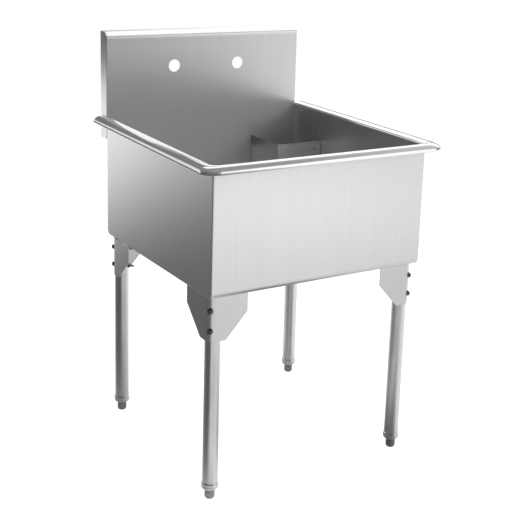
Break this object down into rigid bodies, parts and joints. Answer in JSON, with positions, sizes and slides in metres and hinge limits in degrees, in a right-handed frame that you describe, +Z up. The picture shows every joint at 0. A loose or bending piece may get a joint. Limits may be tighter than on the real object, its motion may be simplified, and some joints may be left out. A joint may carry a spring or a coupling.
{
  "type": "utility laundry sink",
  "caption": "Floor-standing stainless laundry sink: deep square bowl, rolled rim, tall backsplash with tap holes, lift-out corner guard, bolted tube legs on levelling feet.",
  "frame": {"origin": "on the ground under the middle of the sink's overall outline", "axes": "+X to the right of a person at the sink, +Y toward the wall behind it, +Z up"},
  "size_m": [0.692, 0.719, 1.0922],
  "materials": {
    "stainless": "satin brushed stainless steel",
    "fastener": "dark oxide coated steel",
    "foot_metal": "dull grey steel",
    "chrome_plate": "polished plate",
    "rubber_seal": "matt black"
  },
  "bodies": {
    "sink": {"bowl_front": "stainless", "bowl_floor": "stainless", "bowl_back": "stainless", "backsplash": "stainless", "end_panel_left": "stainless", "end_panel_right": "stainless", "backsplash_return_left": "stainless", "backsplash_return_right": "stainless", "rim_roll": "stainless", "leg_tube_front_left": "stainless", "leg_tube_front_right": "stainless", "leg_tube_back_left": "stainless", "leg_tube_back_right": "stainless", "leg_bracket_front_left": "stainless", "leg_bracket_front_right": "stainless", "leg_bracket_back_left": "stainless", "leg_bracket_back_right": "stainless", "bolt_front_left_upper": "fastener", "bolt_front_left_lower": "fastener", "bolt_front_right_upper": "fastener", "bolt_front_right_lower": "fastener", "bolt_back_left_upper": "fastener", "bolt_back_left_lower": "fastener", "bolt_back_right_upper": "fastener", "bolt_back_right_lower": "fastener", "washer_front_left_upper": "fastener", "washer_front_left_lower": "fastener", "washer_front_right_upper": "fastener", "washer_front_right_lower": "fastener", "washer_back_left_upper": "fastener", "washer_back_left_lower": "fastener", "washer_back_right_upper": "fastener", "washer_back_right_lower": "fastener", "nut_front_left_upper": "fastener", "nut_front_left_lower": "fastener", "nut_front_right_upper": "fastener", "nut_front_right_lower": "fastener", "nut_back_left_upper": "fastener", "nut_back_left_lower": "fastener", "nut_back_right_upper": "fastener", "nut_back_right_lower": "fastener", "collar_front_left": "stainless", "collar_front_right": "stainless", "collar_back_left": "stainless", "collar_back_right": "stainless", "drain_body": "stainless", "drain_gasket": "rubber_seal", "drain_slip_ring": "stainless", "drain_locknut": "chrome_plate", "tailpiece_washer": "rubber_seal", "tailpiece": "chrome_plate", "coupling_nut": "chrome_plate"},
    "foot_fl": {"foot_front_left": "foot_metal"},
    "foot_fr": {"foot_front_right": "foot_metal"},
    "foot_bl": {"foot_back_left": "foot_metal"},
    "foot_br": {"foot_back_right": "foot_metal"},
    "guard": {"corner_guard": "stainless"},
    "strainer": {"drain_strainer": "stainless", "strainer_knob": "stainless"}
  },
  "joints": [
    {"name": "foot_front_left_height", "type": "slide", "parent": "sink", "child": "foot_fl", "axis": [0, 0, -1], "range_m": [0, 0.025]},
    {"name": "foot_front_right_height", "type": "slide", "parent": "sink", "child": "foot_fr", "axis": [0, 0, -1], "range_m": [0, 0.025]},
    {"name": "foot_back_left_height", "type": "slide", "parent": "sink", "child": "foot_bl", "axis": [0, 0, -1], "range_m": [0, 0.025]},
    {"name": "foot_back_right_height", "type": "slide", "parent": "sink", "child": "foot_br", "axis": [0, 0, -1], "range_m": [0, 0.025]},
    {"name": "guard_lift", "type": "slide", "parent": "sink", "child": "guard", "axis": [0, 0, 1], "range_m": [0, 0.36]},
    {"name": "strainer_lift", "type": "slide", "parent": "sink", "child": "strainer", "axis": [0, 0.022, 0.9998], "range_m": [0, 0.12]}
  ]
}
